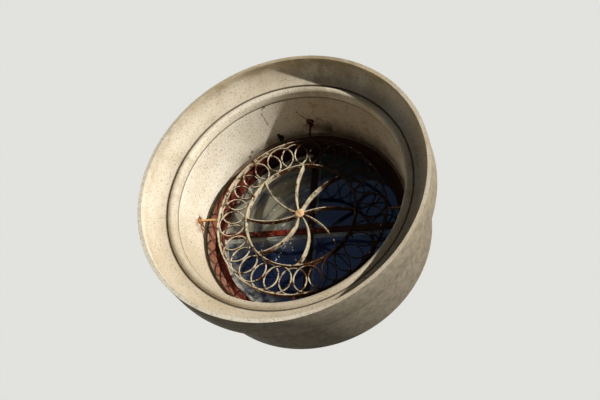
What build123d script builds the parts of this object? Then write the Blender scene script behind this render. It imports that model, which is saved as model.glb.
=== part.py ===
from build123d import *
import os
from math import acos, asin, atan2, cos, degrees, floor, radians, sin, sqrt

# A round window: a moulded stone surround, a tapered reveal, a timber frame with a cross-bar sash,
# and a wrought-iron grille held in the reveal by four stays. Millimetres. X runs along the wall,
# Y into it, Z up. The origin is the window's centre in the plane of the wall's face. Angles are
# seen from the street and go from +X over +Z.

os.makedirs("parts", exist_ok=True)

# Fits
curved_gap = 0.3  # between round faces that seat in each other
forge_gap = 0.15  # between an iron bar's end and the round face it is welded to

# Glass and sash
sight_radius = 428.0  # edge of the visible glass
glass_thickness = 4.0
glass_clearance = 1.5  # round the glass in its rebate
glazing_rebate = 12.0
sash_show = 25.0  # sash ring in view inside the frame
stop_lap = 16.7  # sash ring hidden behind the frame's stop
glass_setback = 33.0  # from the sash's face to the glass
bead_depth = 38.0

# Cross bars
bar_width = 28.0
bar_nose = 8.0  # the bar's nose in front of the glass
bar_web = 8.0  # the bar's thin web between two panes
tenon_length = 14.0
tenon_height = 22.0

# Timber frame
frame_splay = 18.0  # how far the frame's inner face leans
frame_splay_depth = 56.0
frame_wall = 30.0  # timber outside the sash
frame_lip = 4.0  # edge of the frame's front face left clear of mortar

# Stone and mortar
pointing_width = 12.0
bedding_thickness = 8.0
reveal_splay = 30.0
reveal_depth = 252.0
reveal_wall = 65.0  # stone outside the timber frame
joint_chamfer = 5.0  # open joint between the moulding and the reveal
roll_width = 40.0
roll_depth = 47.0
roll_rise = 9.0  # how far the roll stands in front of the hollow's inner edge
roll_nose = 16.0  # radius of the roll's rounded nose
quirk_width = 4.0
quirk_depth = 6.0
hollow_width = 72.0
hollow_depth = 89.0
fillet_width = 17.0
fillet_depth = 14.0
fillet_projection = 5.0  # the outer fillet stands this far in front of the wall

# Grille
grille_setback = 75.0  # from the middle of the grille to the timber frame's face
stay_show = 95.0  # from the grille to the reveal
strip_thickness = 5.0  # flat bar of the rings and spokes
strip_depth = 30.0
band_width = 133.7  # clear width between the two rings
circle_bar = 6.0
circle_depth = 8.0
circle_turn = 16.0  # angle of the first circle of the front row
spoke_bows = [22.0, 31.0, 28.0, 27.0, 28.0, 45.0, 50.0, 31.0]
hub_flats = 30.0  # across the flats of the hub block
cap_radius = 22.0
cap_thickness = 8.0
cap_bevel = 5.0
round_sides = 24  # the circles and the cap are drawn with this many sides

# Stays, the lead round their ends, and the stub of an old fixing beside the frame
stay_bar = 9.0
stay_embed = 40.0
stay_angles = {"right": 0.0, "top": 88.5, "left": 179.0, "bottom": 270.0}
lead_width = 8.5
lead_proud = 3.0
stub_angle = 108.5
stub_width = 12.0
stub_length = 50.0
stub_proud = 6.0
stub_sunk = 6.0
stub_clearance = 2.0  # from the stub to the mortar

# Radii that follow, from the glass outward
rebate_radius = sight_radius + glazing_rebate
glass_radius = rebate_radius - glass_clearance
stop_radius = sight_radius + sash_show
sash_radius = stop_radius + stop_lap
seat_radius = sash_radius + curved_gap
frame_radius = seat_radius + frame_wall
frame_front_radius = stop_radius + frame_splay
reveal_radius = frame_front_radius + frame_lip + pointing_width
check_radius = frame_radius + curved_gap
mouth_radius = reveal_radius + reveal_splay
quirk_radius = mouth_radius + roll_width
hollow_radius = quirk_radius + quirk_width
fillet_radius = hollow_radius + hollow_width
surround_radius = fillet_radius + fillet_width

# Depths that follow, from the wall's face inward
fillet_face = -fillet_projection
hollow_start = fillet_face + fillet_depth
hollow_end = hollow_start + hollow_depth
quirk_bottom = hollow_end + quirk_depth
roll_face = hollow_end - roll_rise
roll_middle = mouth_radius + roll_width / 2
nose_middle = roll_face + roll_nose
mouth_depth = roll_face + roll_depth
check_depth = mouth_depth + reveal_depth
frame_face = check_depth + bedding_thickness
sash_face = frame_face + frame_splay_depth
glass_face = sash_face + glass_setback
glass_back = glass_face + glass_thickness
inner_face = glass_back + bead_depth
nose_face = glass_face - bar_nose
web_depth = inner_face - glass_face
tenon_face = (glass_back + inner_face - tenon_height) / 2
halving_face = (nose_face + inner_face) / 2


def reveal_radius_at(depth):
    """Radius of the tapered reveal at a depth."""
    return mouth_radius - reveal_splay * (depth - mouth_depth) / reveal_depth


# Places in the grille that follow
grille_depth = frame_face - grille_setback
strip_face = grille_depth - strip_depth / 2
wall_radius = reveal_radius_at(grille_depth)
stay_end = wall_radius + stay_embed
plug_width = stay_bar + 2 * lead_width
grille_radius = wall_radius - stay_show
ring_inside = grille_radius - strip_thickness
inner_ring_radius = ring_inside - band_width
spoke_reach = inner_ring_radius - strip_thickness
circle_radius = band_width / 2 - forge_gap
circle_orbit = (ring_inside + inner_ring_radius) / 2

# The circles of a row stand as close as they can without touching
circles_per_row = floor(180 / degrees(asin((circle_radius + curved_gap) / circle_orbit)))
row_pitch = 360 / circles_per_row

# The stub lies along the reveal, its lower half sunk in the stone: radius and depth of its corners
stub_back = check_depth - stub_clearance
stub_front = stub_back - stub_length
stub_outline = [
    (reveal_radius_at(stub_front) - stub_proud, stub_front),
    (reveal_radius_at(stub_front) + stub_sunk, stub_front),
    (reveal_radius_at(stub_back) + stub_sunk, stub_back),
    (reveal_radius_at(stub_back) - stub_proud, stub_back),
]

front_axis = Axis((0, 0, 0), (0, -1, 0))


def front_plane(depth, turn=0):
    """The view from the street at a depth; extrusions go deeper with a negative amount."""
    angle = radians(turn)
    return Plane((0, depth, 0), x_dir=(cos(angle), 0, sin(angle)), z_dir=(0, -1, 0))


def section_plane(angle):
    """A cut from the window's axis outward: X is the radius and Y the depth."""
    turn = radians(angle)
    return Plane((0, 0, 0), x_dir=(cos(turn), 0, sin(turn)), z_dir=(-sin(turn), 0, cos(turn)))


def radial_plane(angle, radius, depth):
    """Square to a radius of the window: X is the depth, and the normal points outward."""
    turn = radians(angle)
    outward = Vector(cos(turn), 0, sin(turn))
    return Plane(outward * radius + Vector(0, depth, 0), x_dir=(0, 1, 0), z_dir=outward)


def on_nose(radius, depth, side):
    """Where a straight flank meets the roll's round nose: side is 1 outside the roll and -1 inside."""
    across = radius - roll_middle
    deeper = depth - nose_middle
    turn = atan2(deeper, across) - side * acos(roll_nose / sqrt(across**2 + deeper**2))
    return (roll_middle + roll_nose * cos(turn), nose_middle + roll_nose * sin(turn))


# Stone surround: fillet, hollow, quirk and roll, run with one profile all the way round
half_root = sqrt(0.5)
nose_outside = on_nose(quirk_radius, quirk_bottom, 1)
nose_inside = on_nose(mouth_radius, mouth_depth, -1)
with BuildPart() as surround_moulding:
    with BuildSketch(section_plane(0)):
        with BuildLine():
            Polyline(
                (mouth_radius, mouth_depth),
                (surround_radius, mouth_depth),
                (surround_radius, fillet_face),
                (fillet_radius, fillet_face),
                (fillet_radius, hollow_start),
            )
            ThreePointArc(
                (fillet_radius, hollow_start),
                (hollow_radius + hollow_width * half_root, hollow_start + hollow_depth * half_root),
                (hollow_radius, hollow_end),
            )
            Polyline((hollow_radius, hollow_end), (quirk_radius, quirk_bottom), nose_outside)
            ThreePointArc(nose_outside, (roll_middle, roll_face), nose_inside)
            Line(nose_inside, (mouth_radius, mouth_depth))
        make_face()
    revolve(axis=Axis.Y)
surround_moulding.part.label = "surround_moulding"
export_step(surround_moulding.part, "parts/surround_moulding.step")


# Tapered reveal with the check that the timber frame seats in, and sockets for the ironwork
with BuildPart() as reveal_ring:
    with BuildSketch(section_plane(0)):
        with BuildLine():
            Polyline(
                (mouth_radius + joint_chamfer, mouth_depth),
                (frame_radius + reveal_wall, mouth_depth),
                (frame_radius + reveal_wall, inner_face),
                (check_radius, inner_face),
                (check_radius, check_depth),
                (reveal_radius, check_depth),
                (reveal_radius_at(mouth_depth + joint_chamfer), mouth_depth + joint_chamfer),
                close=True,
            )
        make_face()
    revolve(axis=Axis.Y)
    for angle in stay_angles.values():
        with BuildSketch(radial_plane(angle, grille_radius, grille_depth)):
            Rectangle(plug_width, plug_width)
        extrude(amount=stay_end - grille_radius, mode=Mode.SUBTRACT)
    with BuildSketch(section_plane(stub_angle)):
        with BuildLine():
            Polyline(*stub_outline, close=True)
        make_face()
    extrude(amount=stub_width / 2, both=True, mode=Mode.SUBTRACT)
reveal_ring.part.label = "reveal_ring"
export_step(reveal_ring.part, "parts/reveal_ring.step")


# Mortar between the check and the face of the frame, pointed to a slope
with BuildPart() as frame_bedding:
    with BuildSketch(section_plane(0)):
        with BuildLine():
            Polyline(
                (reveal_radius, check_depth),
                (frame_radius, check_depth),
                (frame_radius, frame_face),
                (reveal_radius - pointing_width, frame_face),
                close=True,
            )
        make_face()
    revolve(axis=Axis.Y)
frame_bedding.part.label = "frame_bedding"
export_step(frame_bedding.part, "parts/frame_bedding.step")


# Timber frame in four felloes, with a splayed front and a rebate behind for the sash
for index in range(4):
    with BuildPart() as frame_felloe:
        with BuildSketch(section_plane(90 * index)):
            with BuildLine():
                Polyline(
                    (frame_front_radius, frame_face),
                    (frame_radius, frame_face),
                    (frame_radius, inner_face),
                    (seat_radius, inner_face),
                    (seat_radius, sash_face),
                    (stop_radius, sash_face),
                    close=True,
                )
            make_face()
        revolve(axis=front_axis, revolution_arc=90)
    frame_felloe.part.label = f"frame_felloe_{index + 1}"
    export_step(frame_felloe.part, f"parts/frame_felloe_{index + 1}.step")


# Sash ring in four felloes, its joints between those of the frame, each felloe mortised at its
# middle for the end of a cross bar
for index in range(4):
    with BuildPart() as sash_felloe:
        with BuildSketch(section_plane(90 * index + 45)):
            with BuildLine():
                Polyline(
                    (sight_radius, sash_face),
                    (sash_radius, sash_face),
                    (sash_radius, inner_face),
                    (rebate_radius, inner_face),
                    (rebate_radius, glass_face),
                    (sight_radius, glass_face),
                    close=True,
                )
            make_face()
        revolve(axis=front_axis, revolution_arc=90)
        with BuildSketch(radial_plane(90 * index + 90, sight_radius, tenon_face + tenon_height / 2)):
            Rectangle(tenon_height, bar_web)
        extrude(amount=glazing_rebate + tenon_length, mode=Mode.SUBTRACT)
    sash_felloe.part.label = f"sash_felloe_{index + 1}"
    export_step(sash_felloe.part, f"parts/sash_felloe_{index + 1}.step")


# Cross bars: a wide nose before the glass, a thin web between the panes and a tenon at each end,
# halved over each other at the centre, so that the transom's nose runs through
for name, turn in (("transom", 0), ("mullion", 90)):
    with BuildPart() as cross_bar:
        with BuildSketch(front_plane(nose_face, turn)):
            Rectangle(2 * rebate_radius, bar_width)
            Circle(sight_radius - curved_gap, mode=Mode.INTERSECT)
        extrude(amount=-bar_nose)
        with BuildSketch(front_plane(glass_face, turn)):
            Rectangle(2 * sash_radius, bar_web)
            Circle(rebate_radius - curved_gap, mode=Mode.INTERSECT)
        extrude(amount=-web_depth)
        with BuildSketch(front_plane(tenon_face, turn)):
            Rectangle(2 * (rebate_radius + tenon_length), bar_web)
        extrude(amount=-tenon_height)
        if name == "transom":
            with BuildSketch(front_plane(halving_face, turn)):
                Rectangle(bar_web, bar_width)
            extrude(amount=halving_face - inner_face, mode=Mode.SUBTRACT)
        else:
            with BuildSketch(front_plane(nose_face, turn)):
                Rectangle(bar_width, bar_width)
            extrude(amount=-bar_nose, mode=Mode.SUBTRACT)
            with BuildSketch(front_plane(glass_face, turn)):
                Rectangle(bar_web, bar_width)
            extrude(amount=glass_face - halving_face, mode=Mode.SUBTRACT)
    cross_bar.part.label = name
    export_step(cross_bar.part, f"parts/{name}.step")


# Each quarter holds a pane, a curved bead and two straight beads. The long bead runs up to the
# bar, and the short one butts against its side
web_side = bar_web / 2
bead_width = glazing_rebate
bead_turn = degrees(asin(web_side / sight_radius))
bead_reach = sqrt((sight_radius - curved_gap) ** 2 - (web_side + bead_width) ** 2)
quarters = {"upper_right": 0, "upper_left": 90, "lower_left": 180, "lower_right": 270}
for quarter, turn in quarters.items():
    with BuildPart() as pane:
        with BuildSketch(front_plane(glass_face, turn)):
            Circle(glass_radius)
            with Locations((web_side, web_side)):
                Rectangle(glass_radius, glass_radius, align=(Align.MIN, Align.MIN), mode=Mode.INTERSECT)
        extrude(amount=-glass_thickness)
    pane.part.label = f"pane_{quarter}"
    export_step(pane.part, f"parts/pane_{quarter}.step")

    with BuildPart() as curved_bead:
        with BuildSketch(section_plane(turn + bead_turn)):
            with Locations((sight_radius, glass_back)):
                Rectangle(glazing_rebate - curved_gap, bead_depth, align=(Align.MIN, Align.MIN))
        revolve(axis=front_axis, revolution_arc=90 - 2 * bead_turn)
    curved_bead.part.label = f"curved_bead_{quarter}"
    export_step(curved_bead.part, f"parts/curved_bead_{quarter}.step")

    with BuildPart() as long_bead:
        with BuildSketch(front_plane(glass_back, turn)):
            with Locations((web_side, web_side)):
                Rectangle(bead_reach - web_side, bead_width, align=(Align.MIN, Align.MIN))
        extrude(amount=-bead_depth)
    long_bead.part.label = f"long_bead_{quarter}"
    export_step(long_bead.part, f"parts/long_bead_{quarter}.step")

    with BuildPart() as short_bead:
        with BuildSketch(front_plane(glass_back, turn)):
            with Locations((web_side, web_side + bead_width)):
                Rectangle(bead_width, bead_reach - web_side - bead_width, align=(Align.MIN, Align.MIN))
        extrude(amount=-bead_depth)
    short_bead.part.label = f"short_bead_{quarter}"
    export_step(short_bead.part, f"parts/short_bead_{quarter}.step")


# The grille's two rings, flat bar bent on edge
for name, radius in (("grille_outer_ring", grille_radius), ("grille_inner_ring", inner_ring_radius)):
    with BuildPart() as grille_ring:
        with BuildSketch(front_plane(strip_face)):
            Circle(radius)
            Circle(radius - strip_thickness, mode=Mode.SUBTRACT)
        extrude(amount=-strip_depth)
    grille_ring.part.label = name
    export_step(grille_ring.part, f"parts/{name}.step")


# Two rows of circles between the rings, one behind the other. The rear row is half a pitch on,
# so that each circle is welded to the two that it crosses
rows = [("circles_front", grille_depth - circle_depth, 0), ("circles_rear", grille_depth, 0.5)]
for name, depth, shift in rows:
    with BuildPart() as circle_row:
        with BuildSketch(front_plane(depth)):
            with PolarLocations(circle_orbit, circles_per_row, circle_turn + shift * row_pitch):
                RegularPolygon(circle_radius, round_sides)
                RegularPolygon(circle_radius - circle_bar, round_sides, mode=Mode.SUBTRACT)
        extrude(amount=-circle_depth)
    circle_row.part.label = name
    export_step(circle_row.part, f"parts/{name}.step")


# Eight spokes of flat bar on edge, each bent by hand to its own bow
for index, bow in enumerate(spoke_bows):
    with BuildPart() as spoke:
        with BuildSketch(front_plane(strip_face, 45 * index)):
            with BuildLine():
                run = ThreePointArc((0, 0), (spoke_reach / 2, bow), (spoke_reach + strip_thickness, 0))
                offset(run, amount=strip_thickness / 2, side=Side.BOTH)
            make_face()
            Circle(spoke_reach - forge_gap, mode=Mode.INTERSECT)
            RegularPolygon(hub_flats / 2, 8, major_radius=False, mode=Mode.SUBTRACT)
        extrude(amount=-strip_depth)
    spoke.part.label = f"spoke_{index + 1}"
    export_step(spoke.part, f"parts/spoke_{index + 1}.step")


# Eight-sided hub block that the spokes are welded to, and the bevelled cap over their ends
with BuildPart() as hub_block:
    with BuildSketch(front_plane(strip_face)):
        RegularPolygon(hub_flats / 2, 8, major_radius=False)
    extrude(amount=-strip_depth)
hub_block.part.label = "hub_block"
export_step(hub_block.part, "parts/hub_block.step")

with BuildPart() as hub_cap:
    with BuildSketch(front_plane(strip_face)):
        RegularPolygon(cap_radius, round_sides)
    extrude(amount=cap_thickness)
    chamfer(hub_cap.faces().sort_by(Axis.Y).first.edges(), length=cap_bevel)
hub_cap.part.label = "hub_cap"
export_step(hub_cap.part, "parts/hub_cap.step")


# Stays from the outer ring into the reveal
for name, angle in stay_angles.items():
    with BuildPart() as stay:
        with BuildSketch(radial_plane(angle, grille_radius, grille_depth)):
            Rectangle(stay_bar, stay_bar)
        extrude(amount=stay_end - grille_radius)
    stay.part.label = f"stay_{name}"
    export_step(stay.part, f"parts/stay_{name}.step")


# Lead run round the ends of the stays in their sockets
with BuildPart() as stay_leads:
    for angle in stay_angles.values():
        with BuildSketch(radial_plane(angle, wall_radius - lead_proud, grille_depth)):
            Rectangle(plug_width, plug_width)
            Rectangle(stay_bar, stay_bar, mode=Mode.SUBTRACT)
        extrude(amount=stay_embed + lead_proud)
stay_leads.part.label = "stay_leads"
export_step(stay_leads.part, "parts/stay_leads.step")


# Stub of an old iron fixing, sunk along the crown of the reveal
with BuildPart() as fixing_stub:
    with BuildSketch(section_plane(stub_angle)):
        with BuildLine():
            Polyline(*stub_outline, close=True)
        make_face()
    extrude(amount=stub_width / 2, both=True)
fixing_stub.part.label = "fixing_stub"
export_step(fixing_stub.part, "parts/fixing_stub.step")
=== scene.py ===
import math

import bmesh
import bpy
from mathutils import Matrix, Vector, noise

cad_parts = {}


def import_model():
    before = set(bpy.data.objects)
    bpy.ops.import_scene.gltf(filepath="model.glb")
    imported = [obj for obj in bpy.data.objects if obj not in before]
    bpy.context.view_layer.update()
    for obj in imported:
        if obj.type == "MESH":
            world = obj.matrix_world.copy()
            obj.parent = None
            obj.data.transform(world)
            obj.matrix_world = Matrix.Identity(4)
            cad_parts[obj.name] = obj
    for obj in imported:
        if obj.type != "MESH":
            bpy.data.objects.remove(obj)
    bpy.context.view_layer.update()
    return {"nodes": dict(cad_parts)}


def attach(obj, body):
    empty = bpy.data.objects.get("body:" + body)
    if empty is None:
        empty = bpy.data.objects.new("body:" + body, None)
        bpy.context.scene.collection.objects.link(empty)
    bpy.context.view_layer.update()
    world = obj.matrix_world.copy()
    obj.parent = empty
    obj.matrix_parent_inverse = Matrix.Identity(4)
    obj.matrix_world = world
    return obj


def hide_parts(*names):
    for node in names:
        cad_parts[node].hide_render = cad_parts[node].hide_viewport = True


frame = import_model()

NODES = frame["nodes"]


def span(name):
    """A CAD node's least and greatest radius about the window's axis, then its depths."""
    points = [vert.co for vert in NODES[name].data.vertices]
    radii = [math.hypot(point.x, point.z) for point in points]
    depths = [point.y for point in points]
    return min(radii), max(radii), min(depths), max(depths)


# Radii and depths that the marks and the added pieces follow, in metres: first those that the
# CAD nodes give, then the moulding's members, the circles' orbit and the reveal's taper
MOUTH, SURROUND, _, MOUTH_DEPTH = span("surround_moulding")
REVEAL, *_ = span("reveal_ring")
SIGHT, *_ = span("sash_felloe_1")
_, _, GRILLE_DEPTH, _ = span("circles_rear")
_, _, GLASS_DEPTH, _ = span("pane_upper_right")
FILLET = SURROUND - 0.017
HOLLOW = FILLET - 0.072
QUIRK = HOLLOW - 0.004
HOLLOW_END = MOUTH_DEPTH - 0.038
ORBIT = 0.3281
REVEAL_TAPER = 0.119

# Nodes that come in sets
QUARTERS = ("upper_right", "upper_left", "lower_left", "lower_right")
FRAME_FELLOES = [f"frame_felloe_{i}" for i in range(1, 5)]
SASH_FELLOES = [f"sash_felloe_{i}" for i in range(1, 5)]
BEADS = [f"{kind}_bead_{quarter}" for kind in ("curved", "long", "short") for quarter in QUARTERS]
PANES = [f"pane_{quarter}" for quarter in QUARTERS]
RINGS = ["grille_outer_ring", "grille_inner_ring"]
SPOKES = [f"spoke_{i}" for i in range(1, 9)]

INWARD = Vector((0, 1, 0))
BACKDROP = (226, 226, 222)


def shade(red, green, blue):
    """A colour written as screen values, 0 to 255, turned into the linear one that nodes take."""
    linear = []
    for value in (red, green, blue):
        value /= 255
        linear.append(value / 12.92 if value <= 0.04045 else ((value + 0.055) / 1.055) ** 2.4)
    return (*linear, 1.0)


def ray(angle):
    """A unit vector in the window's plane, from an angle in radians."""
    return Vector((math.cos(angle), 0, math.sin(angle)))


def at(turn, radius, depth):
    """A point at an angle in degrees and a radius about the window's axis, in metres."""
    angle = math.radians(turn)
    return Vector((radius * math.cos(angle), depth, radius * math.sin(angle)))


def on_reveal(turn, depth):
    """A point on the tapered reveal."""
    return at(turn, MOUTH - (depth - MOUTH_DEPTH) * REVEAL_TAPER, depth)


# ---------------------------------------------------------------- materials


def put(tree, socket, value):
    """Links a socket to another one, or sets its value."""
    if isinstance(value, bpy.types.NodeSocket):
        tree.links.new(value, socket)
    elif value is not None:
        socket.default_value = value


def node(tree, kind, *inputs, **named):
    """A new node with its properties and its first inputs."""
    made = tree.nodes.new(kind)
    for key, value in named.items():
        setattr(made, key, value)
    for socket, value in zip(made.inputs, inputs):
        put(tree, socket, value)
    return made


class Paint:
    """A material's node tree, written as sums of the surface's own coordinates."""

    def __init__(self, name):
        self.material = bpy.data.materials.new(name)
        self.material.use_nodes = True
        self.tree = self.material.node_tree
        self.shader = self.tree.nodes["Principled BSDF"]
        self.coordinates = self.node("ShaderNodeTexCoord").outputs
        self.place = self.coordinates["Object"]
        self.x, self.y, self.z = self.split(self.place)
        square = self.do("ADD", self.both(self.x, self.x), self.both(self.z, self.z))
        self.radius = self.do("SQRT", square)
        self.turn = self.part(self.do("ARCTAN2", self.z, self.x), math.degrees(1))

    def node(self, kind, *inputs, **named):
        return node(self.tree, kind, *inputs, **named)

    def fill(self, made, values):
        """Fills a node's inputs by their names."""
        for name, value in values.items():
            put(self.tree, made.inputs[name], value)

    def split(self, vector):
        return self.node("ShaderNodeSeparateXYZ", vector).outputs

    def do(self, operation, *values):
        return self.node("ShaderNodeMath", *values, operation=operation).outputs[0]

    def vector(self, operation, *values, output="Vector"):
        return self.node("ShaderNodeVectorMath", *values, operation=operation).outputs[output]

    def both(self, first, *others):
        """1 where all of the masks are 1."""
        for mask in others:
            first = self.do("MULTIPLY", first, mask)
        return first

    def either(self, first, *others):
        """1 where any of the masks is 1."""
        for mask in others:
            first = self.do("MAXIMUM", first, mask)
        return first

    def part(self, mask, share):
        return self.do("MULTIPLY", mask, share)

    def scaled(self, x, y, z):
        """The object's coordinates, each stretched by its own factor."""
        return self.vector("MULTIPLY", self.place, (x, y, z))

    def wrapped(self, along, across, deep):
        """Coordinates that run round the ring: its arc at 0.5 m, its radius and its depth."""
        arc = self.part(self.turn, 0.00873 * along)
        radius = self.part(self.radius, across)
        return self.node("ShaderNodeCombineXYZ", arc, radius, self.part(self.y, deep)).outputs[0]

    def drawn_out(self, run, along, across):
        """Coordinates for a grain that runs along a ring, a transom (x) or a mullion (z)."""
        if run == "ring":
            return self.wrapped(along, across, across)
        if run == "x":
            return self.scaled(along, across, across)
        return self.scaled(across, across, along)

    def noise(self, scale, detail=3.0, rough=0.55, where=None, twist=0.0):
        made = self.node("ShaderNodeTexNoise")
        self.fill(made, {"Vector": where or self.place, "Scale": scale, "Detail": detail,
                         "Roughness": rough, "Distortion": twist})
        return made.outputs["Fac"]

    def cells(self, scale):
        made = self.node("ShaderNodeTexVoronoi", feature="F1")
        self.fill(made, {"Vector": self.place, "Scale": scale})
        return made.outputs["Distance"]

    def step(self, value, low, high, out_low=0.0, out_high=1.0):
        """A smooth step from out_low to out_high as the value goes from low to high."""
        made = self.node("ShaderNodeMapRange", value, low, high, out_low, out_high,
                         interpolation_type="SMOOTHSTEP")
        return made.outputs[0]

    def band(self, value, low, high, soft):
        """1 between low and high, with soft edges outside them."""
        return self.both(self.step(value, low - soft, low),
                         self.step(value, high, high + soft, 1.0, 0.0))

    def spot(self, centre, size, soft=0.6):
        """1 near a point, 0 beyond its size."""
        away = self.vector("DISTANCE", self.place, tuple(centre), output="Value")
        return self.step(away, size * (1 - soft), size, 1.0, 0.0)

    def wavering(self, reach):
        """The object's coordinates, shifted to and fro by up to half the reach."""
        shift = self.node("ShaderNodeTexNoise")
        self.fill(shift, {"Vector": self.place, "Scale": 60.0})
        moved = self.vector("SUBTRACT", shift.outputs["Color"], (0.5, 0.5, 0.5))
        moved = self.vector("MULTIPLY", moved, (reach, reach, reach))
        return self.vector("ADD", self.place, moved)

    def line(self, points, width, waver=0.0):
        """1 along a broken line between points on the surface, in metres."""
        place = self.wavering(waver) if waver else self.place
        runs = []
        for first, last in zip(points, points[1:]):
            run = Vector(last) - Vector(first)
            measure = tuple(run / run.length_squared)
            from_first = self.vector("SUBTRACT", place, tuple(first))
            share = self.vector("DOT_PRODUCT", from_first, measure, output="Value")
            share = self.do("MAXIMUM", self.do("MINIMUM", share, 1.0), 0.0)
            on_run = self.vector("SCALE", tuple(run), None, None, share)
            away = self.vector("DISTANCE", from_first, on_run, output="Value")
            runs.append(self.step(away, width * 0.35, width, 1.0, 0.0))
        return self.either(*runs)

    def mix(self, mask, first, last):
        made = self.node("ShaderNodeMix", data_type="RGBA")
        for index, value in ((0, mask), (6, first), (7, last)):
            put(self.tree, made.inputs[index], value)
        return made.outputs[2]

    def tones(self, mask, first, last):
        """From one tone to another as the mask goes from 0 to 1."""
        return self.mix(mask, shade(*first), shade(*last))

    def over(self, colour, mask, share, tone):
        """The colour with a tone laid over a share of it where the mask is 1."""
        return self.mix(self.part(mask, share), colour, shade(*tone))

    def bump(self, *layers):
        """Bump from (height, strength, distance) layers, the first one deepest."""
        normal = None
        for height, strength, distance in layers:
            made = self.node("ShaderNodeBump")
            self.fill(made, {"Strength": strength, "Distance": distance, "Height": height,
                             "Normal": normal})
            normal = made.outputs[0]
        self.fill(self.shader, {"Normal": normal})

    def finish(self, colour, roughness, gloss=0.5, metallic=None):
        self.fill(self.shader, {"Base Color": colour, "Roughness": roughness,
                                "Specular IOR Level": gloss, "Metallic": metallic})
        return self.material


def moulded_stone():
    """Limewashed stone, run smooth, with raw stone where the wall would hide it."""
    p = Paint("moulded_stone")
    grain = p.noise(170, 4, 0.65)
    clouds = p.noise(5.5, 5, 0.6)
    streaks = p.noise(1.0, 4, 0.6, p.wrapped(16, 5, 5))
    colour = p.tones(p.step(clouds, 0.35, 0.68), (229, 218, 197), (214, 199, 171))
    colour = p.over(colour, p.step(p.z, -0.05, -0.40), 0.5, (200, 182, 152))
    # Painted light makes the coat whitest on the outer fillet's lower left and on the roll's upper
    # left. Over the crown the fillet is darker and yellower.
    fillet = p.step(p.radius, FILLET - 0.002, FILLET + 0.001)
    low = p.both(fillet, p.step(p.z, 0.35, 0.0), p.step(p.x, 0.35, 0.0))
    painted_light_roll = p.both(p.step(p.radius, HOLLOW + 0.001, QUIRK - 0.001),
                  p.step(p.z, 0.05, 0.25), p.step(p.x, 0.05, -0.10))
    colour = p.mix(p.either(p.part(low, 0.95), p.part(painted_light_roll, 0.8)), colour, shade(253, 242, 219))
    colour = p.over(colour, p.both(fillet, p.step(p.z, 0.25, 0.55)), 0.4, (196, 170, 118))
    colour = p.over(colour, p.step(streaks, 0.52, 0.74), 0.4, (188, 168, 136))
    # Dirt high on the ring and on its outer fillet, more towards the top, also paints in the shade
    # that falls there. Dirt and painted shade darken the quirk and the inside of the mouth.
    upper = p.both(p.step(p.z, 0.30, 0.62), p.step(p.x, -0.20, 0.12))
    dirt_and_painted_shade = p.both(upper, p.step(p.noise(9, 5, 0.65), 0.42, 0.62))
    colour = p.over(colour, dirt_and_painted_shade, 0.5, (132, 112, 78))
    # Dirt and painted shade along the fillet's outer edge, strongest at the top.
    ragged = p.do("ADD", p.radius, p.part(p.noise(26, 3), 0.012))
    edge = p.both(p.band(ragged, FILLET + 0.004, SURROUND - 0.007, 0.006),
                  p.step(p.noise(14, 3), 0.42, 0.64), p.step(p.z, -0.1, 0.4, 0.25, 1.0))
    colour = p.over(colour, edge, 0.35, (140, 122, 92))
    # Dirt and painted shade in the quirk.
    quirk_dirt_and_shade = p.both(p.band(p.radius, QUIRK - 0.0015, HOLLOW + 0.0005, 0.0025),
                   p.step(p.y, HOLLOW_END - 0.004, HOLLOW_END + 0.001))
    colour = p.over(colour, quirk_dirt_and_shade, 0.85, (54, 43, 32))
    # Dirt and painted shade inside the mouth.
    mouth_dirt_and_shade = p.both(p.band(p.radius, MOUTH - 0.0015, MOUTH + 0.004, 0.003),
                   p.step(p.y, MOUTH_DEPTH - 0.010, MOUTH_DEPTH - 0.002))
    colour = p.over(colour, mouth_dirt_and_shade, 0.8, (66, 54, 40))
    # The washed coat is worn through to darker stone in pits and fine specks.
    pits = p.step(p.noise(135, 2, 0.5), 0.56, 0.67)
    colour = p.over(colour, pits, 0.55, (156, 136, 104))
    colour = p.over(colour, p.step(grain, 0.55, 0.75), 0.22, (250, 238, 212))
    hair = p.line([at(68, 0.645, 0.0), at(66.5, 0.6, 0.05), at(67.5, 0.565, 0.1)], 0.0016, 0.006)
    colour = p.over(colour, hair, 0.7, (70, 56, 40))
    raw = p.either(p.step(p.radius, SURROUND - 0.0012, SURROUND - 0.0004),
                   p.step(p.y, MOUTH_DEPTH - 0.0015, MOUTH_DEPTH - 0.0002))
    rubble = p.tones(p.step(p.noise(38, 5, 0.7), 0.35, 0.7), (172, 160, 138), (142, 130, 111))
    colour = p.mix(raw, colour, rubble)
    p.bump((clouds, 0.12, 0.02), (p.noise(42, 4, 0.6), 0.25, 0.004),
           (pits, -0.4, 0.0012), (grain, 0.35, 0.0012))
    return p.finish(colour, p.step(grain, 0.2, 0.8, 0.82, 0.95), 0.12)


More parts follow.
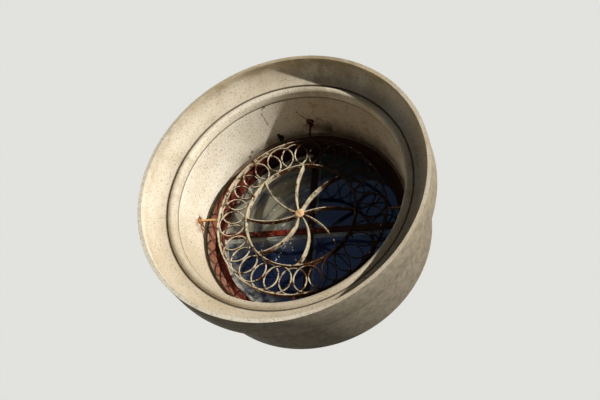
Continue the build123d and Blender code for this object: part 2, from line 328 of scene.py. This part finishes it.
def reveal_stone():
    """Rough pale render, stained by weather, soot and rust."""
    p = Paint("reveal_stone")
    grain = p.noise(260, 3, 0.6)
    specks = p.noise(150, 2, 0.45)
    clouds = p.noise(6, 5, 0.6)
    colour = p.tones(p.step(clouds, 0.32, 0.7), (244, 236, 219), (231, 219, 196))
    colour = p.over(colour, p.step(p.z, 0.04, -0.22), 0.75, (203, 184, 152))
    # Brown stains over the crown, with painted shade: darkest where the sun does not reach.
    over = p.both(p.step(p.z, 0.05, 0.42), p.step(p.x, -0.2, 0.1))
    colour = p.over(colour, over, 0.55, (160, 130, 88))
    blots = p.both(over, p.step(p.noise(15, 5, 0.65), 0.5, 0.66))
    colour = p.over(colour, blots, 0.5, (140, 112, 76))
    # Coarse render: dark and light grains.
    colour = p.over(colour, p.step(specks, 0.56, 0.66), 0.5, (136, 116, 88))
    colour = p.over(colour, p.step(specks, 0.40, 0.32), 0.35, (250, 240, 216))
    pits = p.both(p.step(p.cells(75), 0.16, 0.10), p.step(p.noise(12, 2), 0.5, 0.6))
    colour = p.over(colour, pits, 0.55, (88, 70, 50))
    # Soot behind the upper stay, and painted shade in the crown's deep corner by the frame.
    corner = p.both(p.step(p.y, 0.335, 0.385), p.step(p.z, 0.28, 0.42))
    soot_and_painted_shade = p.either(p.spot(at(78, 0.494, 0.372), 0.10, 0.9), p.part(corner, 0.8))
    colour = p.over(colour, p.both(soot_and_painted_shade, p.step(p.noise(22, 4), 0.3, 0.55)), 0.75, (46, 36, 27))
    # A crack in the render, and chips and pocks given by their angle, depth and size.
    crack = p.line([at(109.5, 0.516, 0.139), at(111.3, 0.511, 0.181), at(111.0, 0.503, 0.256)],
                   0.0032, 0.010)
    colour = p.over(colour, crack, 0.75, (104, 84, 60))
    for turn, depth, size in ((-163.4, 0.239, 0.006), (128.9, 0.379, 0.012), (126.4, 0.361, 0.010),
                              (108.6, 0.140, 0.010), (-148, 0.30, 0.004), (140, 0.22, 0.004)):
        colour = p.over(colour, p.spot(on_reveal(turn, depth), size), 0.85, (72, 58, 42))
    # Rust washed out of the left stay and the crown's iron.
    left = p.both(p.spot(at(180.5, 0.497, 0.325), 0.075, 0.9), p.step(p.noise(34, 4), 0.36, 0.6))
    drip = p.line([at(180, 0.497, 0.33), at(182.5, 0.495, 0.35), at(187, 0.493, 0.37)], 0.011, 0.01)
    trail = p.line([at(88.2, 0.498, 0.299), at(91.0, 0.500, 0.270), at(92.6, 0.503, 0.248),
                    at(93.8, 0.506, 0.225)], 0.004, 0.014)
    top = p.both(p.spot(at(88, 0.497, 0.31), 0.07, 0.85), p.step(p.noise(30, 4), 0.4, 0.62))
    rust = p.either(p.part(left, 0.7), p.part(drip, 0.85), p.part(trail, 0.9), p.part(top, 0.75))
    colour = p.mix(rust, colour, shade(118, 64, 28))
    joint = p.band(p.y, MOUTH_DEPTH - 0.002, MOUTH_DEPTH + 0.0025, 0.0015)
    colour = p.over(colour, joint, 0.75, (78, 64, 48))
    raw = p.step(p.radius, MOUTH + 0.0045, MOUTH + 0.0065)
    rubble = p.tones(p.step(p.noise(38, 5, 0.7), 0.35, 0.7), (168, 156, 135), (138, 126, 108))
    colour = p.mix(raw, colour, rubble)
    p.bump((p.noise(24, 3), 0.2, 0.006), (specks, 0.45, 0.0022),
           (grain, 0.35, 0.001), (crack, -0.6, 0.002))
    return p.finish(colour, 0.93, 0.08)


def mortar():
    p = Paint("mortar")
    lumps = p.noise(90, 4, 0.65)
    colour = p.tones(p.step(p.noise(18, 4), 0.35, 0.68), (146, 132, 113), (106, 92, 76))
    colour = p.over(colour, p.step(lumps, 0.58, 0.7), 0.6, (58, 52, 46))
    # Painted shade darkens the upper part.
    colour = p.over(colour, p.step(p.z, 0.1, 0.4), 0.55, (52, 43, 34))
    p.bump((lumps, 0.6, 0.003))
    return p.finish(colour, 0.95, 0.1)


def timber(name, run, coat, faded, dark, flaking):
    """Old brush paint over softwood: the paint, its colour and where it has flaked off."""
    p = Paint(name)
    grain = p.noise(1.0, 4, 0.6, p.drawn_out(run, 9, 160))
    peel = p.noise(1.0, 5, 0.7, p.drawn_out(run, 21, 67.2))
    colour = p.tones(p.step(p.noise(11, 5, 0.65), 0.36, 0.66), coat, faded)
    colour = p.over(colour, p.step(grain, 0.55, 0.72), 0.45, dark)
    held = 0.60 - 0.06 * flaking
    gone = p.step(peel, held, held + 0.025)
    bare = p.tones(p.step(grain, 0.4, 0.62), (176, 156, 136), (92, 70, 56))
    colour = p.mix(p.part(gone, 0.85), colour, bare)
    rim = p.band(peel, held, held + 0.005, 0.015)
    colour = p.over(colour, rim, 0.7, dark)
    # Painted shade, near black, on the street side over the upper part and the right half.
    upper = p.both(p.step(p.z, 0.02, 0.12), p.step(p.turn, 143, 131))
    street = p.step(p.y, GLASS_DEPTH + 0.0015, GLASS_DEPTH - 0.0015)
    painted_shade = p.both(p.either(upper, p.step(p.x, 0.0, 0.12)), street)
    colour = p.over(colour, painted_shade, 0.92, (19, 11, 9))
    p.bump((grain, 0.25, 0.0012), (p.step(peel, 0.50, 0.58, 1.0, 0.0), 0.35, 0.0012))
    return p, colour, gone


def frame_timber():
    p, colour, gone = timber("frame_timber", "ring", coat=(130, 78, 62), faded=(144, 96, 76),
                             dark=(78, 40, 32), flaking=0.0)
    dust = p.both(p.step(p.z, -0.1, -0.42), p.step(p.noise(8, 4), 0.4, 0.62))
    colour = p.over(colour, dust, 0.25, (170, 148, 122))
    redder = p.both(p.step(p.z, 0.0, 0.12), p.step(p.x, -0.1, -0.2))
    colour = p.over(colour, redder, 0.6, (102, 36, 28))
    line = p.both(p.band(p.radius, REVEAL - 0.0025, REVEAL + 0.0015, 0.002),
                  p.step(p.noise(20, 3), 0.3, 0.5))
    colour = p.over(colour, line, 0.8, (48, 34, 28))
    return p.finish(colour, p.step(gone, 0.0, 1.0, 0.6, 0.88), 0.06)


def sash_timber(name, run, coat, faded, flaking):
    p, colour, gone = timber(name, run, coat, faded, (54, 20, 16), flaking)
    colour = p.over(colour, p.step(p.noise(38, 4), 0.47, 0.56), 0.75 * flaking, (36, 16, 12))
    return p.finish(colour, p.step(gone, 0.0, 1.0, 0.52, 0.86), 0.06)


def glass():
    """Dusty panes with painted reflections, dark behind, the white beads showing along their edges.
    """
    p = Paint("glass")
    # Painted reflections of boughs, and of sky in blue patches, over the dark glass.
    painted_reflection_boughs = p.noise(5.5, 6, 0.7, p.scaled(1.0, 1.0, 1.4), 2.4)
    painted_reflection_twigs = p.do("ABSOLUTE", p.do("SUBTRACT", painted_reflection_boughs, 0.5))
    colour = p.tones(p.step(painted_reflection_twigs, 0.012, 0.0), (16, 21, 38), (32, 42, 78))
    colour = p.over(colour, p.step(p.noise(3.2, 3), 0.45, 0.7), 0.8, (18, 26, 54))
    # Dust and a pale painted reflection on the sunlit upper left pane.
    dust_and_painted_reflection = p.both(p.step(p.x, 0.06, -0.16), p.step(p.z, -0.12, 0.10))
    smear = p.noise(1.0, 4, 0.6, p.wrapped(3, 26, 1))
    colour = p.over(colour, p.both(dust_and_painted_reflection, p.step(smear, 0.20, 0.62)), 0.9, (148, 143, 120))
    low = p.both(p.step(p.radius, 0.33, 0.425), p.step(p.x, 0.05, -0.2))
    dust = p.both(low, p.step(p.noise(30, 4), 0.35, 0.65))
    colour = p.over(colour, dust, 0.6, (150, 150, 140))
    # A grey-green painted reflection dulls the upper right pane above its middle.
    painted_reflection_dull = p.both(p.step(p.z, 0.17, 0.27), p.step(p.x, 0.0, 0.05))
    colour = p.over(colour, painted_reflection_dull, 0.6, (56, 62, 60))
    # Lines of pale drips: x and z of their bends on the glass.
    drips = (
        ((-0.137, 0.298), (-0.156, 0.245), (-0.170, 0.193)),
        ((0.010, 0.291), (-0.034, 0.234), (-0.045, 0.164)),
        ((-0.113, -0.050), (-0.138, -0.095), (-0.156, -0.140)),
        ((-0.094, -0.058), (-0.077, -0.112), (-0.057, -0.159)),
        ((-0.236, -0.048), (-0.233, -0.092)),
        ((-0.191, 0.135), (-0.218, 0.109)),
        ((-0.135, 0.047), (-0.144, 0.013)),
    )
    runs = p.either(*(p.line([(x, GLASS_DEPTH, z) for x, z in bends], 0.009) for bends in drips))
    colour = p.over(colour, p.both(p.step(p.cells(92), 0.36, 0.24), runs), 0.9, (214, 220, 222))
    # The white beads on the room side, seen through each pane's edge, with painted light: brightest
    # on the left.
    under = p.band(p.z, -0.036, -0.012, 0.0015)
    side = p.band(p.x, 0.012, 0.029, 0.0015)
    ring = p.both(p.step(p.radius, 0.409, 0.412), p.step(p.x, 0.10, -0.05))
    seen = p.either(p.part(under, 0.8), p.part(side, 0.35), p.part(ring, 0.8))
    seen = p.both(seen, p.step(p.noise(16, 3), 0.25, 0.5), p.step(p.x, 0.38, -0.10, 0.25, 1.0))
    colour = p.mix(seen, colour, shade(166, 164, 152))
    p.fill(p.shader, {"IOR": 1.5, "Specular Tint": (0.3, 0.5, 1.0, 1.0),
                      "Transmission Weight": 0.15})
    p.bump((p.noise(3.5, 2), 0.06, 0.02))
    return p.finish(colour, p.step(dust_and_painted_reflection, 0.0, 1.0, 0.04, 0.14), 0.2)


def inner_paint():
    """The white paint of the room side, a little chipped."""
    p = Paint("inner_paint")
    colour = p.tones(p.step(p.noise(9, 4), 0.35, 0.68), (226, 224, 216), (204, 200, 186))
    chips = p.step(p.noise(70, 4, 0.7), 0.63, 0.66)
    colour = p.over(colour, chips, 0.7, (122, 100, 80))
    p.bump((p.noise(120, 3), 0.15, 0.0008), (chips, -0.3, 0.0008))
    return p.finish(colour, 0.48)


def rusted(p, scale, fine, first, last, flakes):
    """Rust in two tones, with flakes of a third and dark blots."""
    rust = p.tones(p.step(fine, 0.35, 0.65), first, last)
    rust = p.over(rust, p.step(scale, 0.52, 0.66), 0.7, flakes)
    return p.over(rust, p.step(p.noise(26, 3), 0.55, 0.7), 0.6, (44, 27, 19))


def wrought(p, scale, fine, colour):
    """Gives wrought iron its scale and its dull sheen."""
    p.bump((scale, 0.35, 0.0016), (fine, 0.35, 0.0007))
    return p.finish(colour, p.step(fine, 0.3, 0.7, 0.62, 0.88), 0.1)


def painted_iron(name, paint_left):
    """Wrought iron in cream paint: the higher paint_left is, the less rust shows through."""
    p = Paint(name)
    scale = p.noise(55, 5, 0.7)
    fine = p.noise(190, 4, 0.65)
    rust = rusted(p, scale, fine, (112, 72, 44), (64, 40, 27), (146, 106, 62))
    cream = p.tones(p.step(p.noise(30, 3), 0.4, 0.65), (216, 203, 174), (184, 168, 138))
    cream = p.over(cream, p.step(fine, 0.56, 0.68), 0.5, (128, 104, 76))
    # The lower right of the inner ring has lost its paint. Painted shade takes the paint off the
    # far right of the grille, where the surround's shadow falls, and darkens its rust to near
    # black.
    # Undersides rust more, which also paints shade on the faces that turn down.
    worn = p.spot((0.075, 0.315, -0.250), 0.10, 0.8)
    shaded = p.do("SUBTRACT", 1.0, p.spot((-0.5, 0.32, -0.07), 0.68, 0.12))
    under = p.step(p.split(p.coordinates["Normal"])[2], -0.70, -0.93)
    level = p.noise(34, 5, 0.68)
    for mask, share in ((worn, 0.14), (under, 0.17), (shaded, 0.2)):
        level = p.do("ADD", level, p.part(mask, share))
    held = 0.34 + 0.2 * paint_left
    bare = p.step(level, held, held + 0.05)
    return wrought(p, scale, fine, p.mix(bare, cream, p.over(rust, shaded, 0.88, (34, 26, 22))))


def bare_iron():
    """Wrought iron in orange rust, with painted shade darkening the far right."""
    p = Paint("rusty_iron")
    scale = p.noise(55, 5, 0.7)
    fine = p.noise(190, 4, 0.65)
    rust = rusted(p, scale, fine, (238, 194, 136), (200, 150, 96), (208, 164, 112))
    return wrought(p, scale, fine, p.over(rust, p.step(p.x, 0.30, 0.36), 0.75, (62, 38, 26)))


def crown_iron():
    """The dark red-brown rust of the iron in the crown and at the foot."""
    p = Paint("crown_iron")
    fine = p.noise(150, 5, 0.7)
    colour = p.tones(p.step(fine, 0.35, 0.66), (84, 36, 26), (40, 21, 17))
    colour = p.over(colour, p.step(p.noise(48, 4), 0.55, 0.68), 0.4, (128, 68, 42))
    # Painted shade: on the stub and its crust, left of the crown, the rust turns near black.
    colour = p.mix(p.step(p.x, 0.0, -0.06), colour, shade(34, 24, 20))
    p.bump((fine, 0.5, 0.0014))
    return p.finish(colour, 0.85, 0.15)


def hub_iron():
    """The cap: salmon rust with a dark cleft across it."""
    p = Paint("hub_iron")
    fine = p.noise(160, 5, 0.7)
    colour = p.tones(p.step(fine, 0.35, 0.65), (246, 208, 162), (224, 174, 124))
    colour = p.over(colour, p.step(p.noise(60, 4), 0.58, 0.68), 0.45, (118, 76, 48))
    slit = p.line([(-0.011, 0.296, 0.010), (0.002, 0.296, -0.003), (0.009, 0.296, -0.013)],
                  0.0045, 0.004)
    colour = p.over(colour, slit, 0.9, (60, 34, 20))
    p.bump((p.noise(60, 3), 0.4, 0.002), (fine, 0.4, 0.0007), (slit, -0.8, 0.003))
    return p.finish(colour, 0.8)


def lead():
    p = Paint("lead")
    marks = p.noise(120, 4, 0.65)
    colour = p.tones(p.step(marks, 0.35, 0.68), (146, 140, 130), (92, 86, 80))
    colour = p.over(colour, p.step(p.noise(45, 4), 0.5, 0.64), 0.65, (128, 78, 44))
    p.bump((marks, 0.5, 0.0015))
    return p.finish(colour, p.step(marks, 0.3, 0.7, 0.55, 0.75), metallic=0.4)


def flaked_rust():
    p = Paint("flaked_rust")
    fine = p.noise(140, 5, 0.75)
    colour = p.tones(p.step(fine, 0.35, 0.65), (200, 138, 78), (126, 70, 34))
    colour = p.over(colour, p.step(p.noise(52, 4), 0.52, 0.64), 0.8, (62, 36, 22))
    p.bump((fine, 0.6, 0.0016))
    return p.finish(colour, 0.92)


def putty():
    p = Paint("putty")
    crumb = p.noise(110, 4, 0.7)
    colour = p.tones(p.step(crumb, 0.4, 0.62), (198, 192, 178), (136, 122, 104))
    colour = p.over(colour, p.step(p.noise(26, 4), 0.55, 0.66), 0.7, (92, 52, 42))
    p.bump((crumb, 0.6, 0.0015))
    return p.finish(colour, 0.85)


def wear(material, *names):
    """Gives CAD nodes their material."""
    for name in names:
        materials = NODES[name].data.materials
        materials.clear()
        materials.append(material)


RING_IRON = painted_iron("painted_iron", 1.08)
CIRCLE_IRON = painted_iron("circle_iron", 0.95)
CROWN_IRON = crown_iron()
HUB_IRON = hub_iron()
FLAKED_RUST = flaked_rust()
PUTTY = putty()

wear(moulded_stone(), "surround_moulding")
wear(reveal_stone(), "reveal_ring")
wear(mortar(), "frame_bedding")
wear(frame_timber(), *FRAME_FELLOES)
wear(sash_timber("sash_timber", "ring", (96, 37, 29), (110, 51, 41), 0.3), *SASH_FELLOES)
wear(sash_timber("rail_timber", "x", (122, 42, 28), (90, 36, 28), 1.0), "transom")
# The mullion's near-black coat is painted shade, for it stands in the surround's shadow.
wear(sash_timber("post_timber", "z", (28, 17, 14), (23, 15, 12), 0.4), "mullion")
wear(glass(), *PANES)
wear(inner_paint(), *BEADS)
wear(RING_IRON, *RINGS, "hub_block")
wear(painted_iron("spoke_iron", 1.1), *SPOKES)
wear(HUB_IRON, "hub_cap")
wear(CIRCLE_IRON, "circles_front", "circles_rear")
wear(bare_iron(), "stay_right", "stay_left")
wear(CROWN_IRON, "stay_top", "stay_bottom", "fixing_stub")
wear(lead(), "stay_leads")


# ---------------------------------------------------------------- pieces


def ease(width, *names):
    """Rounds the sharp edges of CAD nodes a little, so that they catch the light."""
    for name in names:
        modifiers = NODES[name].modifiers
        modifiers.new("weld", "WELD").merge_threshold = 0.00002
        bevel = modifiers.new("bevel", "BEVEL")
        bevel.width = width
        bevel.segments = 2
        bevel.limit_method = "ANGLE"
        bevel.angle_limit = math.radians(32)


def placed(name, data):
    made = bpy.data.objects.new(name, data)
    bpy.context.scene.collection.objects.link(made)
    return made


def meshed(name, bm):
    mesh = bpy.data.meshes.new(name)
    bm.to_mesh(mesh)
    bm.free()
    return mesh


def piece(name, bm, material, slot, *nodes):
    """A new object of the scene, riding on the window. It may stand for CAD nodes."""
    bm.normal_update()
    bmesh.ops.recalc_face_normals(bm, faces=bm.faces)
    mesh = meshed(name, bm)
    mesh.materials.append(material)
    for face in mesh.polygons:
        face.use_smooth = True
    made = placed(name, mesh)
    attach(made, "root")
    if nodes:
        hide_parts(*nodes)


def skin(bm, sections, closed=False):
    """Skins a run of sections, each a list of points, and returns their rows of corners."""
    rows = [[bm.verts.new(point) for point in section] for section in sections]
    for one, two in zip(rows, rows[1:] + rows[:1] if closed else rows[1:]):
        for j in range(len(one)):
            k = (j + 1) % len(one)
            bm.faces.new((one[j], two[j], two[k], one[k]))
    return rows


def bar(bm, sections):
    """Skins a run of sections and closes both of its ends."""
    rows = skin(bm, sections)
    bm.faces.new(rows[0])
    bm.faces.new(rows[-1][::-1])


def rounded(width, depth, corner):
    """A rounded rectangle, as (across, deep) pairs about its centre."""
    out = []
    for across, deep, start in ((1, 1, 0), (-1, 1, 90), (-1, -1, 180), (1, -1, 270)):
        for turn in (start, start + 45, start + 90):
            angle = math.radians(turn)
            out.append((across * (width / 2 - corner) + corner * math.cos(angle),
                        deep * (depth / 2 - corner) + corner * math.sin(angle)))
    return out


def circles(name, node_name, first):
    """Fifteen forged circles in one row, each bent from a bar of slightly uneven thickness."""
    bm = bmesh.new()
    _, _, low, high = span(node_name)
    count, sides = 15, 64
    bend, width, corner, inset = 0.0634, 0.0056, 0.0018, 0.0001
    bar_section = rounded(width, high - low - 2 * inset, corner)
    for i in range(count):
        centre = at(first + 360 / count * i, ORBIT, (low + high) / 2)
        seed = Vector((3.1 * i + first, 7.7, 1.3))
        sections = []
        for j in range(sides):
            out = ray(math.tau * j / sides)
            radius = bend + 0.0002 * noise.noise(seed + out * 2.2)
            fat = 1.0 + 0.10 * noise.noise(seed + out * 5.0)
            flat = min(1.0, fat)
            sections.append([centre + out * (radius + across * fat) + INWARD * (deep * flat)
                             for across, deep in bar_section])
        skin(bm, sections, closed=True)
    piece(name, bm, CIRCLE_IRON, "painted_iron", node_name)


def hub_cap():
    """The hammered cap over the spokes' ends: a low dome with an uneven rim."""
    bm = bmesh.new()
    crown = 0.2982
    profile = ((0.0055, 0.2983), (0.0105, 0.2987), (0.0150, 0.2996), (0.0185, 0.3010),
               (0.0208, 0.3028), (0.0216, 0.3042), (0.0217, 0.3059))
    deepest = 0.306
    sides = 48
    sections = []
    for radius, depth in profile:
        section = []
        for j in range(sides):
            out = ray(math.tau * j / sides)
            dent = noise.noise(out * radius * 120 + Vector((4, 2, 9)))
            rim = radius * (1 - 0.03 * abs(noise.noise(out * 2.5)))
            section.append(out * rim + INWARD * min(deepest, depth + 0.0009 * max(-0.2, dent)))
        sections.append(section)
    rows = skin(bm, sections)
    top = bm.verts.new((0, crown, 0))
    for j in range(sides):
        bm.faces.new((top, rows[0][j], rows[0][(j + 1) % sides]))
    bm.faces.new(rows[-1])
    piece("hub_cap_forged", bm, HUB_IRON, "painted_iron", "hub_cap")


def crust(name, turn, radius, depth, size, seed, material, detail=4):
    """A crust of rust that clings to the iron's root. Its size is outward, along and inward."""
    bm = bmesh.new()
    bmesh.ops.create_icosphere(bm, subdivisions=detail, radius=1.0)
    centre = at(turn, radius, depth)
    outward = ray(math.radians(turn))
    along = Vector((-outward.z, 0, outward.x))
    for vert in bm.verts:
        d = vert.co.normalized()
        swell = 1 + 0.5 * noise.noise(d * 1.8 + Vector((seed, 0, 0)))
        swell += 0.3 * noise.noise(d * 5 + Vector((0, seed, 0)))
        reach = outward * d.x * size[0] + along * d.y * size[1] + INWARD * d.z * size[2]
        vert.co = centre + reach * swell
    piece(name, bm, material, "rusty_iron")


def splinter(bm, start, end, width):
    """A thin tapering splinter of iron."""
    run = (end - start).normalized()
    side = run.cross(INWARD)
    if side.length < 0.1:
        side = run.cross(Vector((1, 0, 0)))
    side.normalize()
    other = run.cross(side)
    sections = []
    for i in range(6):
        t = i / 5
        thick = width * (1 - 0.85 * t)
        middle = start.lerp(end, t)
        middle += side * 0.0012 * math.sin(5 * t) + other * 0.0009 * math.sin(3 + 7 * t)
        sections.append([middle + side * thick * math.cos(b) + other * thick * 0.6 * math.sin(b)
                         for b in (0.3, 1.8, 3.4, 5.0)])
    bar(bm, sections)


def left_root():
    """The frayed, rust-eaten foot of the left stay."""
    bm = bmesh.new()
    base = at(179.1, 0.492, GRILLE_DEPTH)
    # Each splinter's reach from the base, and its width
    for dx, dy, dz, width in (
        (-0.001, -0.020, 0.022, 0.0022),
        (0.004, -0.026, 0.012, 0.0018),
        (0.008, -0.016, 0.026, 0.0017),
        (0.002, 0.024, 0.015, 0.0022),
        (0.006, 0.022, -0.014, 0.0018),
        (0.010, -0.022, -0.012, 0.0016),
        (0.014, -0.010, 0.016, 0.0016),
        (0.003, 0.034, 0.004, 0.0018),
        (0.012, 0.012, -0.018, 0.0015),
    ):
        start = base + Vector((0.0, dy / 4, dz / 4))
        splinter(bm, start, base + Vector((dx, dy, dz)), width)
    piece("left_root_splinters", bm, FLAKED_RUST, "rusty_iron")


def crown_eye():
    """The small eye of bar at the root of the upper stay, bedded in the soffit."""
    bm = bmesh.new()
    turn = 88.2
    centre = at(turn, 0.4945, 0.299)
    out = ray(math.radians(turn))
    along = Vector((-out.z, 0, out.x))
    count, sides = 40, 8
    bend, bar_radius = 0.0150, 0.0042
    sections = []
    for j in range(count):
        a = math.tau * j / count
        reach = along * math.cos(a) + INWARD * math.sin(a)
        thick = bar_radius * (1 + 0.25 * noise.noise(reach * 3 + Vector((2, 5, 1))))
        middle = centre + reach * (bend + 0.0012 * noise.noise(reach * 2))
        middle -= out * 0.0012 * math.sin(2 * a)
        sections.append([middle + (reach * math.cos(b) + out * math.sin(b)) * thick
                         for b in [math.tau * k / sides for k in range(sides)]])
    skin(bm, sections, closed=True)
    piece("crown_eye", bm, CROWN_IRON, "rusty_iron")


def putty_line():
    """Crumbling putty between the glass and the sash's stop, left at the lower left."""
    bm = bmesh.new()
    start, end, count = 128, 292, 150
    outer = SIGHT - 0.0002
    face = GLASS_DEPTH - 0.0002
    sections = []
    for j in range(count + 1):
        turn = start + (end - start) * j / count
        ends = min(1.0, min(j, count - j) / 6)
        crumb = 0.75 + 0.5 * noise.noise(Vector((turn * 0.35, 1.7, 0)))
        crumb += 0.3 * noise.noise(Vector((turn * 1.3, 4.1, 0)))
        size = 0.0052 * max(0.25, crumb) * max(0.1, ends)
        sections.append([at(turn, outer, face), at(turn, outer - size * 1.3, face),
                         at(turn, outer - size * 0.75, face - size * 0.6),
                         at(turn, outer, face - size * 1.1)])
    bar(bm, sections)
    piece("putty", bm, PUTTY, "mortar")


circles("circles_front_forged", "circles_front", 16)
circles("circles_rear_forged", "circles_rear", 4)
hub_cap()
left_root()
crown_eye()
putty_line()
crust("left_rust_crust", 179.3, 0.4945, 0.326, (0.010, 0.014, 0.026), 3.0, FLAKED_RUST)
crust("left_rust_drip", 182.6, 0.4915, 0.352, (0.004, 0.006, 0.014), 8.0, FLAKED_RUST, detail=3)
crust("crown_rust_crust", 88.4, 0.4945, 0.322, (0.006, 0.010, 0.018), 5.0, CROWN_IRON)
crust("stub_rust_crust", 107.6, 0.4885, 0.366, (0.007, 0.010, 0.019), 9.0, CROWN_IRON)
crust("right_rust_crust", 0.0, 0.4945, GRILLE_DEPTH, (0.006, 0.011, 0.016), 6.0, FLAKED_RUST)
crust("bottom_rust_crust", 270.0, 0.4945, GRILLE_DEPTH, (0.006, 0.012, 0.018), 7.0, FLAKED_RUST)

ease(0.0010, *FRAME_FELLOES, *SASH_FELLOES, "transom", "mullion")
ease(0.0012, *BEADS)
ease(0.0009, *SPOKES, *RINGS, "hub_block")
ease(0.0012, "stay_right", "stay_left", "stay_bottom", "stay_top", "fixing_stub")
ease(0.0015, "surround_moulding", "reveal_ring")


# ---------------------------------------------------------------- stage


def seen_directly(tree):
    """1 for what the camera, a reflection or a pane sees, 0 for what lights the surfaces."""
    rays = tree.nodes.new("ShaderNodeLightPath").outputs
    seen = rays["Is Camera Ray"]
    for name in ("Is Glossy Ray", "Is Transmission Ray"):
        seen = node(tree, "ShaderNodeMath", seen, rays[name], operation="MAXIMUM").outputs[0]
    return seen


def floor():
    bm = bmesh.new()
    bmesh.ops.create_grid(bm, x_segments=2, y_segments=2, size=12)
    made = placed("floor", meshed("floor", bm))
    made.location = (0, 0, -2.25)
    material = bpy.data.materials.new("floor")
    material.use_nodes = True
    tree = material.node_tree
    inputs = tree.nodes["Principled BSDF"].inputs
    inputs["Base Color"].default_value = shade(150, 150, 148)
    inputs["Roughness"].default_value = 0.9
    inputs["Emission Color"].default_value = shade(*BACKDROP)
    glow = node(tree, "ShaderNodeMath", seen_directly(tree), 0.8, operation="MULTIPLY")
    put(tree, inputs["Emission Strength"], glow.outputs[0])
    made.data.materials.append(material)


def world():
    made = bpy.data.worlds.new("studio")
    bpy.context.scene.world = made
    made.use_nodes = True
    tree = made.node_tree
    tree.nodes.clear()
    ambient = node(tree, "ShaderNodeBackground", (0.66, 0.80, 1.0, 1.0), 0.05)
    backdrop = node(tree, "ShaderNodeBackground", shade(*BACKDROP), 1.0)
    seen = seen_directly(tree)
    mix = node(tree, "ShaderNodeMixShader", seen, ambient.outputs[0], backdrop.outputs[0])
    node(tree, "ShaderNodeOutputWorld", mix.outputs[0])


def lamp(name, place, size, watts, spread, colour):
    """A round area lamp that faces the window."""
    data = bpy.data.lights.new(name, "AREA")
    data.shape = "DISK"
    data.size = size
    data.energy = watts
    data.color = colour
    data.spread = math.radians(spread)
    made = placed(name, data)
    made.location = place
    made.rotation_euler = (INWARD * 0.1 - Vector(place)).to_track_quat("-Z", "Y").to_euler()
    made.visible_camera = False


def camera():
    """The photograph's camera, fitted to the rings of the window."""
    data = bpy.data.cameras.new("camera")
    data.lens = 52.4
    data.sensor_width = 36
    data.clip_end = 200
    right = (0.95469, 0.28787, 0.07597)
    up = (0.07731, -0.48577, 0.87071)
    back = (0.28744, -0.82540, -0.48591)
    place = Vector((1.1420, -2.9819, -1.8666))
    made = placed("camera", data)
    made.matrix_world = Matrix.Translation(place) @ Matrix((right, up, back)).transposed().to_4x4()
    bpy.context.scene.camera = made


# The key is far off and narrow, as the sun is. The soft lamps stand behind the window's face, so
# that they light its back and sides and leave the shadows in front.
SUN = Vector((0.825, -0.546, 0.148))
floor()
lamp("key", SUN * 24.0, 0.7, 82, 20, (1.0, 0.983, 0.95))
for lamp_name, lamp_place, lamp_size, lamp_watts in (
    ("back", (-1.6, 5.0, 1.2), 2.6, 27),
    ("side", (-4.2, 1.9, 2.0), 2.2, 22),
    ("top", (0.6, 2.0, 4.6), 2.2, 20),
):
    lamp(lamp_name, lamp_place, lamp_size, lamp_watts, 60, (1.0, 1.0, 1.0))
world()
camera()
bpy.context.scene.view_settings.view_transform = "Standard"

bpy.context.view_layer.update()
